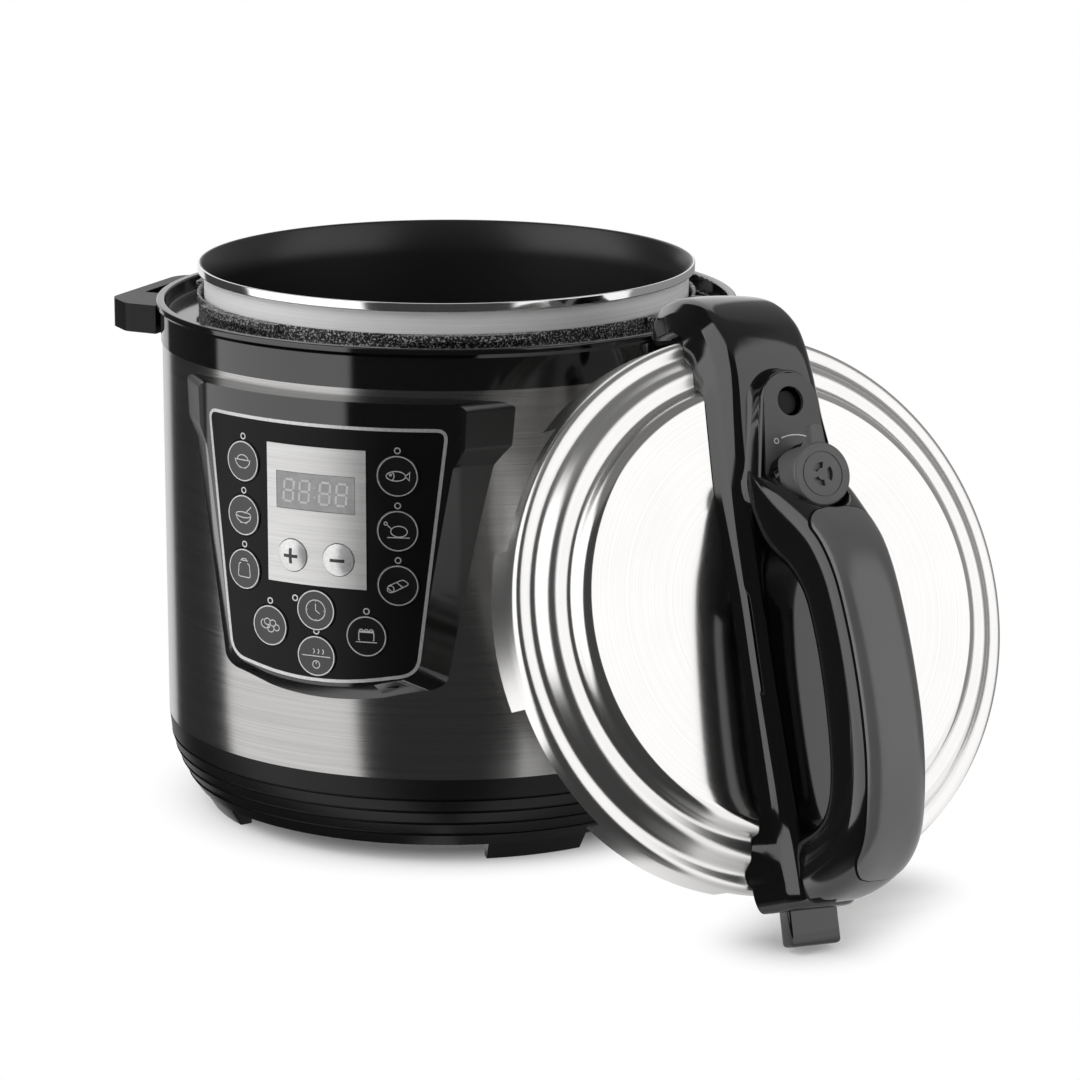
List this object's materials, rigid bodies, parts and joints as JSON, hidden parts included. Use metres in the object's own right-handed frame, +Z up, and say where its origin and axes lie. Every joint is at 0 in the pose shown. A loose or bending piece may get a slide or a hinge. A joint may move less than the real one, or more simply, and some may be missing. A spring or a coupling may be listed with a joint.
{
  "type": "electric pressure cooker",
  "caption": "Round countertop pressure cooker with a sloped key panel, lift-out coated pot, bayonet rim and a stepped steel lid with an arched grip, parked leaning beside it.",
  "frame": {"origin": "On the floor, on the axis of the pot.", "axes": "+Z up along the pot's axis, -Y out of the control panel, +X towards the parked lid's handle side."},
  "size_m": [0.4767, 0.361, 0.2745],
  "materials": {
    "black_plastic": "gloss black moulding",
    "brass": "turned pipe",
    "brushed_steel": "brushed round the pot",
    "cast_aluminium": "cast and turned",
    "circuit": "circuit board",
    "coated_steel": "textured black coat",
    "display_lens": "grey display lens",
    "non_stick": "dark non-stick inside, bare satin outside",
    "polished_steel": "polished pressed sheet",
    "silicone": "translucent white silicone",
    "silver_key": "silver key cap",
    "silver_plate": "fine brushed silver",
    "soft_black": "satin black moulding",
    "zinc_steel": "plated steel"
  },
  "bodies": {
    "pot": {"base": "soft_black", "board_posts": "soft_black", "bottom_cover": "zinc_steel", "control_panel": "black_plastic", "cover_screws": "zinc_steel", "display_module": "display_lens", "display_plate": "silver_plate", "display_window": "display_lens", "foot_front_left": "soft_black", "foot_front_right": "soft_black", "foot_rear_left": "soft_black", "foot_rear_right": "soft_black", "heating_plate": "cast_aluminium", "housing_shell": "brushed_steel", "key_circuit": "circuit", "key_domes": "zinc_steel", "outer_pot": "coated_steel", "pot_supports": "zinc_steel", "power_board": "circuit", "power_inlet": "black_plastic", "pressure_switch": "soft_black", "sensor_bracket": "zinc_steel", "sensor_spring": "zinc_steel", "side_handle_left": "black_plastic", "side_handle_right": "black_plastic", "upper_ring": "black_plastic"},
    "inner_pot": {"inner_pot": "non_stick"},
    "sensor": {"temperature_sensor": "cast_aluminium"},
    "lid": {"lid_shell": "polished_steel", "sealing_ring": "silicone", "seal_carrier": "zinc_steel", "handle_bridge": "black_plastic", "handle_grip": "black_plastic", "grip_inlay": "soft_black", "dial_plate": "soft_black", "steam_pipe": "brass", "strainer_cap": "zinc_steel"},
    "pressure_valve": {"pressure_valve": "soft_black"},
    "float_valve": {"float_valve": "zinc_steel"},
    "key_centre_high": {"key_centre_high": "black_plastic"},
    "key_centre_low": {"key_centre_low": "black_plastic"},
    "key_left_1": {"key_left_1": "black_plastic"},
    "key_left_2": {"key_left_2": "black_plastic"},
    "key_left_3": {"key_left_3": "black_plastic"},
    "key_low_left": {"key_low_left": "black_plastic"},
    "key_low_right": {"key_low_right": "black_plastic"},
    "key_minus": {"key_minus": "silver_key"},
    "key_plus": {"key_plus": "silver_key"},
    "key_right_1": {"key_right_1": "black_plastic"},
    "key_right_2": {"key_right_2": "black_plastic"},
    "key_right_3": {"key_right_3": "black_plastic"}
  },
  "joints": [
    {"name": "inner_pot_lift", "type": "slide", "parent": "pot", "child": "inner_pot", "axis": [0, 0, 1], "range_m": [0, 0.2]},
    {"name": "sensor_press", "type": "slide", "parent": "pot", "child": "sensor", "axis": [0, 0, 1], "range_m": [-0.0015, 0], "stiffness_N_per_m": 1500, "deforming": ["sensor_spring"]},
    {"name": "lid_away", "type": "slide", "parent": "pot", "child": "lid", "axis": [0.7505, -0.5635, 0.3452], "range_m": [0, 0.3]},
    {"name": "pressure_valve_turn", "type": "hinge", "parent": "lid", "child": "pressure_valve", "pos_m": [0.22954, -0.12761, 0.20394], "axis": [0.7505, -0.5635, 0.3452], "range_deg": [-50, 25]},
    {"name": "float_valve_rise", "type": "slide", "parent": "lid", "child": "float_valve", "axis": [0.7505, -0.5635, 0.3452], "range_m": [0, 0.005]},
    {"name": "key_centre_high_press", "type": "slide", "parent": "pot", "child": "key_centre_high", "axis": [0, 1, 0], "range_m": [0, 0.0007], "stiffness_N_per_m": 900},
    {"name": "key_centre_low_press", "type": "slide", "parent": "pot", "child": "key_centre_low", "axis": [0, 1, 0], "range_m": [0, 0.0007], "stiffness_N_per_m": 900},
    {"name": "key_left_1_press", "type": "slide", "parent": "pot", "child": "key_left_1", "axis": [0.272, 0.9623, 0], "range_m": [0, 0.0007], "stiffness_N_per_m": 900},
    {"name": "key_left_2_press", "type": "slide", "parent": "pot", "child": "key_left_2", "axis": [0.272, 0.9623, 0], "range_m": [0, 0.0007], "stiffness_N_per_m": 900},
    {"name": "key_left_3_press", "type": "slide", "parent": "pot", "child": "key_left_3", "axis": [0.272, 0.9623, 0], "range_m": [0, 0.0007], "stiffness_N_per_m": 900},
    {"name": "key_low_left_press", "type": "slide", "parent": "pot", "child": "key_low_left", "axis": [0.1708, 0.9853, 0], "range_m": [0, 0.0007], "stiffness_N_per_m": 900},
    {"name": "key_low_right_press", "type": "slide", "parent": "pot", "child": "key_low_right", "axis": [-0.1708, 0.9853, 0], "range_m": [0, 0.0007], "stiffness_N_per_m": 900},
    {"name": "key_minus_press", "type": "slide", "parent": "pot", "child": "key_minus", "axis": [-0.0809, 0.9967, 0], "range_m": [0, 0.0007], "stiffness_N_per_m": 900},
    {"name": "key_plus_press", "type": "slide", "parent": "pot", "child": "key_plus", "axis": [0.0809, 0.9967, 0], "range_m": [0, 0.0007], "stiffness_N_per_m": 900},
    {"name": "key_right_1_press", "type": "slide", "parent": "pot", "child": "key_right_1", "axis": [-0.272, 0.9623, 0], "range_m": [0, 0.0007], "stiffness_N_per_m": 900},
    {"name": "key_right_2_press", "type": "slide", "parent": "pot", "child": "key_right_2", "axis": [-0.272, 0.9623, 0], "range_m": [0, 0.0007], "stiffness_N_per_m": 900},
    {"name": "key_right_3_press", "type": "slide", "parent": "pot", "child": "key_right_3", "axis": [-0.272, 0.9623, 0], "range_m": [0, 0.0007], "stiffness_N_per_m": 900}
  ]
}
